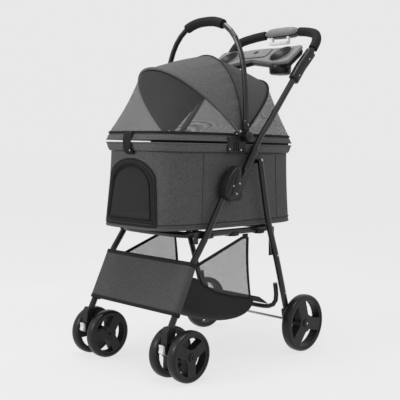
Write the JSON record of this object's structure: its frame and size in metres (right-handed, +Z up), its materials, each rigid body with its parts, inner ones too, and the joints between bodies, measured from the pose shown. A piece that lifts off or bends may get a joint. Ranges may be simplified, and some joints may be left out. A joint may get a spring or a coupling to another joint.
{
  "type": "pet stroller",
  "caption": "Folding pet stroller with a lift-off fabric carrier, domed mesh canopy, storage basket, cup tray, swivel front casters and braked rear wheels.",
  "frame": {"origin": "middle of the stroller's footprint, on the ground under its bounding box's centre", "axes": "+Z up, -Y is the front that the pet rides towards, +X is the stroller's left side"},
  "size_m": [0.465, 0.7337, 1.0407],
  "materials": {
    "black_tube": "gloss black powder coat",
    "steel": "bright turned steel",
    "black_plastic": "satin moulded black",
    "wheel_plastic": "fine-textured black",
    "tyre": "smooth black tread with a faint sheen",
    "foam": "matte closed-cell foam",
    "grey_plastic": "satin mid-grey",
    "light_plastic": "satin light grey",
    "charcoal_fabric": "heathered woven polyester",
    "grey_fabric": "heathered woven polyester",
    "mesh": "open knitted mesh",
    "cushion_fabric": "soft brushed weave"
  },
  "bodies": {
    "front_frame": {"front_leg_left": "black_tube", "front_leg_right": "black_tube", "front_cross_tube": "black_tube", "fold_housing_left": "black_plastic", "fold_housing_right": "black_plastic", "caster_socket_left": "black_plastic", "caster_socket_right": "black_plastic", "seat_front_loop": "black_tube", "basket_front": "grey_fabric", "basket_bag": "mesh"},
    "caster_left": {"caster_fork_left": "black_plastic"},
    "caster_lock_left": {"caster_lock_left": "light_plastic"},
    "front_wheel_left_outer": {"front_tyre_left_outer": "tyre", "front_rim_left_outer": "wheel_plastic"},
    "front_wheel_left_inner": {"front_tyre_left_inner": "tyre", "front_rim_left_inner": "wheel_plastic"},
    "caster_right": {"caster_fork_right": "black_plastic"},
    "caster_lock_right": {"caster_lock_right": "light_plastic"},
    "front_wheel_right_outer": {"front_tyre_right_outer": "tyre", "front_rim_right_outer": "wheel_plastic"},
    "front_wheel_right_inner": {"front_tyre_right_inner": "tyre", "front_rim_right_inner": "wheel_plastic"},
    "handle_frame": {"handle_bracket_left": "black_plastic", "handle_bracket_right": "black_plastic", "handle_tube": "black_tube", "grip_left": "foam", "grip_right": "foam", "console": "grey_plastic", "tray": "grey_plastic"},
    "fold_trigger": {"fold_trigger": "light_plastic"},
    "tray_lid": {"tray_lid": "grey_plastic"},
    "rear_frame": {"rear_leg_left": "black_tube", "rear_leg_right": "black_tube", "rear_cross_tube": "black_tube", "axle_block_left": "black_plastic", "axle_block_right": "black_plastic", "rear_axle": "steel"},
    "rear_wheel_left": {"rear_tyre_left": "tyre", "rear_rim_left": "wheel_plastic"},
    "brake_pedal_left": {"brake_pedal_left": "light_plastic"},
    "rear_wheel_right": {"rear_tyre_right": "tyre", "rear_rim_right": "wheel_plastic"},
    "brake_pedal_right": {"brake_pedal_right": "light_plastic"},
    "seat_frame": {"seat_tube": "black_tube", "seat_strut_left": "black_tube", "seat_strut_right": "black_tube"},
    "carrier": {"carrier_body": "charcoal_fabric", "cushion": "cushion_fabric", "body_rim": "grey_fabric", "canopy_rim": "grey_fabric", "hinge_bracket_left": "black_plastic", "hinge_bracket_right": "black_plastic", "canopy_rear_bow": "black_plastic", "canopy_rear_mesh": "mesh", "canopy_hood": "grey_fabric"},
    "front_door": {"front_door": "mesh"},
    "carry_handle": {"carry_handle": "black_tube", "carry_grip": "foam"},
    "canopy_front": {"canopy_front_bow": "black_plastic", "canopy_front_mesh": "mesh"}
  },
  "joints": [
    {"name": "handle_fold", "type": "hinge", "parent": "front_frame", "child": "handle_frame", "pos_m": [0, -0.087, 0.497], "axis": [-1, 0, 0], "range_deg": [0, 130], "deforming": ["basket_bag"]},
    {"name": "rear_fold", "type": "hinge", "parent": "handle_frame", "child": "rear_frame", "pos_m": [0, 0.013, 0.604], "axis": [-1, 0, 0], "range_deg": [-88, 0]},
    {"name": "seat_fold", "type": "hinge", "parent": "front_frame", "child": "seat_frame", "pos_m": [0, -0.199, 0.388], "axis": [-1, 0, 0], "range_deg": [0, 77]},
    {"name": "caster_swivel_left", "type": "hinge", "parent": "front_frame", "child": "caster_left", "pos_m": [0.1735, -0.341, 0.107], "axis": [0, 0, 1], "continuous": true},
    {"name": "caster_lock_slide_left", "type": "slide", "parent": "caster_left", "child": "caster_lock_left", "axis": [0, 0, -1], "range_m": [0, 0.008]},
    {"name": "front_wheel_spin_left_outer", "type": "hinge", "parent": "caster_left", "child": "front_wheel_left_outer", "pos_m": [0.2095, -0.296, 0.071], "axis": [1, 0, 0], "continuous": true},
    {"name": "front_wheel_spin_left_inner", "type": "hinge", "parent": "caster_left", "child": "front_wheel_left_inner", "pos_m": [0.1375, -0.296, 0.071], "axis": [1, 0, 0], "continuous": true},
    {"name": "caster_swivel_right", "type": "hinge", "parent": "front_frame", "child": "caster_right", "pos_m": [-0.1735, -0.341, 0.107], "axis": [0, 0, 1], "continuous": true},
    {"name": "caster_lock_slide_right", "type": "slide", "parent": "caster_right", "child": "caster_lock_right", "axis": [0, 0, -1], "range_m": [0, 0.008]},
    {"name": "front_wheel_spin_right_outer", "type": "hinge", "parent": "caster_right", "child": "front_wheel_right_outer", "pos_m": [-0.2095, -0.296, 0.071], "axis": [1, 0, 0], "continuous": true},
    {"name": "front_wheel_spin_right_inner", "type": "hinge", "parent": "caster_right", "child": "front_wheel_right_inner", "pos_m": [-0.1375, -0.296, 0.071], "axis": [1, 0, 0], "continuous": true},
    {"name": "rear_wheel_spin_left", "type": "hinge", "parent": "rear_frame", "child": "rear_wheel_left", "pos_m": [0.213, 0.202, 0.089], "axis": [1, 0, 0], "continuous": true},
    {"name": "brake_press_left", "type": "hinge", "parent": "rear_frame", "child": "brake_pedal_left", "pos_m": [0.172, 0.223, 0.11], "axis": [-1, 0, 0], "range_deg": [0, 14]},
    {"name": "rear_wheel_spin_right", "type": "hinge", "parent": "rear_frame", "child": "rear_wheel_right", "pos_m": [-0.213, 0.202, 0.089], "axis": [1, 0, 0], "continuous": true},
    {"name": "brake_press_right", "type": "hinge", "parent": "rear_frame", "child": "brake_pedal_right", "pos_m": [-0.172, 0.223, 0.11], "axis": [-1, 0, 0], "range_deg": [0, 14]},
    {"name": "trigger_pull", "type": "slide", "parent": "handle_frame", "child": "fold_trigger", "axis": [0, 0, 1], "range_m": [0, 0.01], "stiffness_N_per_m": 200},
    {"name": "tray_lid_open", "type": "hinge", "parent": "handle_frame", "child": "tray_lid", "pos_m": [0, 0.2214, 0.9588], "axis": [-1, 0, 0], "range_deg": [0, 95]},
    {"name": "carrier_lift", "type": "slide", "parent": "front_frame", "child": "carrier", "axis": [0, -0.5736, 0.8192], "range_m": [0, 0.5]},
    {"name": "door_swing", "type": "hinge", "parent": "carrier", "child": "front_door", "pos_m": [0, -0.342, 0.4185], "axis": [1, 0, 0], "range_deg": [0, 150]},
    {"name": "carry_handle_swing", "type": "hinge", "parent": "carrier", "child": "carry_handle", "pos_m": [0, -0.041, 0.665], "axis": [1, 0, 0], "range_deg": [0, 75]},
    {"name": "canopy_fold_back", "type": "hinge", "parent": "carrier", "child": "canopy_front", "pos_m": [0, -0.041, 0.665], "axis": [-1, 0, 0], "range_deg": [0, 70]}
  ],
  "couplings": [
    {"joint": "rear_fold", "follows": "handle_fold", "ratio": -0.6715},
    {"joint": "seat_fold", "follows": "handle_fold", "ratio": 0.5877}
  ]
}
